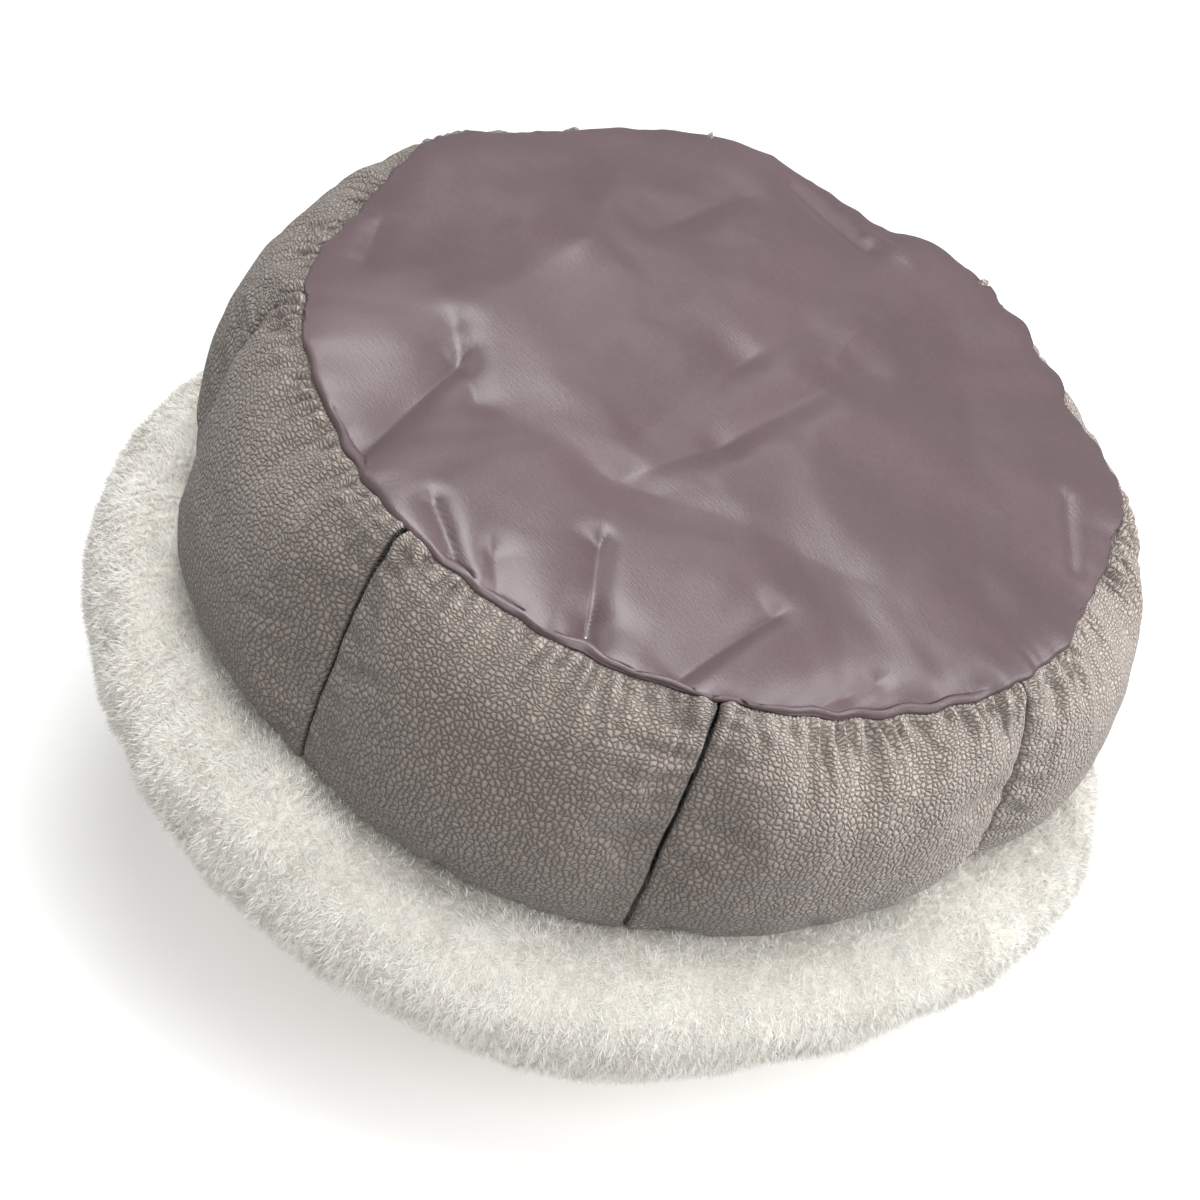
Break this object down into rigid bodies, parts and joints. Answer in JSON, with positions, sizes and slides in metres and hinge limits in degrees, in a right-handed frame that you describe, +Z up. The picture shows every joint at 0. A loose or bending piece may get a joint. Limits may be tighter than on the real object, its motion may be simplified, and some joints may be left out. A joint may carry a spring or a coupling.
{
  "type": "pet cushion bed",
  "caption": "Round pet bed with a flat base, a wall of puffed sewn panels, a plush-lined well with a crowned seat, and a plush roll collar that dips at the front.",
  "frame": {"origin": "middle of the underside of the flat base", "axes": "+Z up out of the well, -Y towards the dipped front of the collar, +X to the right of someone facing the front from behind the bed"},
  "size_m": [0.507, 0.507, 0.2199],
  "materials": {
    "base_satin": "mauve coated satin with a soft sheen",
    "wall_microfibre": "warm grey microfibre embossed with a pebbled hide grain",
    "plush": "ivory short-pile plush",
    "wadding": "loose white polyester wadding"
  },
  "bodies": {
    "root": {"base_panel": "base_satin", "seat_cover": "plush", "seat_fill": "wadding", "wall_panel_1": "wall_microfibre", "wall_panel_2": "wall_microfibre", "wall_panel_3": "wall_microfibre", "wall_panel_4": "wall_microfibre", "wall_panel_5": "wall_microfibre", "wall_panel_6": "wall_microfibre", "wall_panel_7": "wall_microfibre", "wall_panel_8": "wall_microfibre", "wall_wadding_1": "wadding", "wall_wadding_2": "wadding", "wall_wadding_3": "wadding", "wall_wadding_4": "wadding", "wall_wadding_5": "wadding", "wall_wadding_6": "wadding", "wall_wadding_7": "wadding", "wall_wadding_8": "wadding", "wall_lining": "plush", "collar_cover": "plush", "collar_fill": "wadding"}
  },
  "joints": []
}
